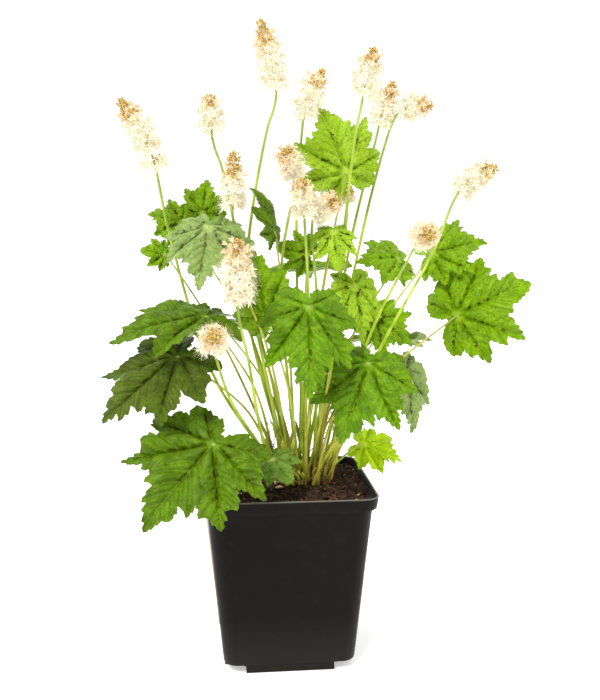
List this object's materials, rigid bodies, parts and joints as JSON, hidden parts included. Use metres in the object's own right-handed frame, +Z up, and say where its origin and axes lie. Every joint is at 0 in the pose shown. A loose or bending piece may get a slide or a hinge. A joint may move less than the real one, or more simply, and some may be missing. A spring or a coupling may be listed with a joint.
{
  "type": "potted foamflower",
  "caption": "Foamflower with lobed green leaves and feathery cream flower heads on slender stems, growing in dark soil in a square black nursery pot.",
  "frame": {"origin": "middle of the pot's flat underside, on the surface that it stands on", "axes": "+Z up; the pot's four sides face along X and Y; the picture looks nearly along +Y, so the label is on the -X side"},
  "size_m": [0.2731, 0.1846, 0.4091],
  "materials": {
    "pot": "satin",
    "label": "matte",
    "soil": "matte",
    "leaf": "satin",
    "stem": "satin",
    "flower": "matte"
  },
  "bodies": {
    "root": {"pot": "pot", "soil": "soil", "pot_label": "label", "leaf_01": "leaf", "leaf_02": "leaf", "leaf_03": "leaf", "leaf_04": "leaf", "leaf_05": "leaf", "leaf_06": "leaf", "leaf_07": "leaf", "leaf_08": "leaf", "leaf_09": "leaf", "leaf_10": "leaf", "leaf_11": "leaf", "leaf_12": "leaf", "leaf_13": "leaf", "leaf_14": "leaf", "leaf_15": "leaf", "leaf_16": "leaf", "leaf_17": "leaf", "leaf_18": "leaf", "leaf_19": "leaf", "leaf_20": "leaf", "leaf_21": "leaf", "leaf_22": "leaf", "leaf_23": "leaf", "leaf_24": "leaf", "leaf_25": "leaf", "flower_stem_01": "stem", "flower_stem_02": "stem", "flower_stem_03": "stem", "flower_stem_04": "stem", "flower_stem_05": "stem", "flower_stem_06": "stem", "flower_stem_07": "stem", "flower_stem_08": "stem", "flower_stem_09": "stem", "flower_stem_10": "stem", "flower_stem_11": "stem", "flower_stem_12": "stem", "flower_stem_13": "stem", "flower_stem_14": "stem", "flower_stem_15": "stem", "flower_stem_16": "stem", "flower_head_01": "flower", "flower_head_02": "flower", "flower_head_03": "flower", "flower_head_04": "flower", "flower_head_05": "flower", "flower_head_06": "flower", "flower_head_07": "flower", "flower_head_08": "flower", "flower_head_09": "flower", "flower_head_10": "flower", "flower_head_11": "flower", "flower_head_12": "flower", "flower_head_13": "flower", "flower_head_14": "flower", "flower_head_15": "flower", "flower_head_16": "flower"}
  },
  "joints": []
}
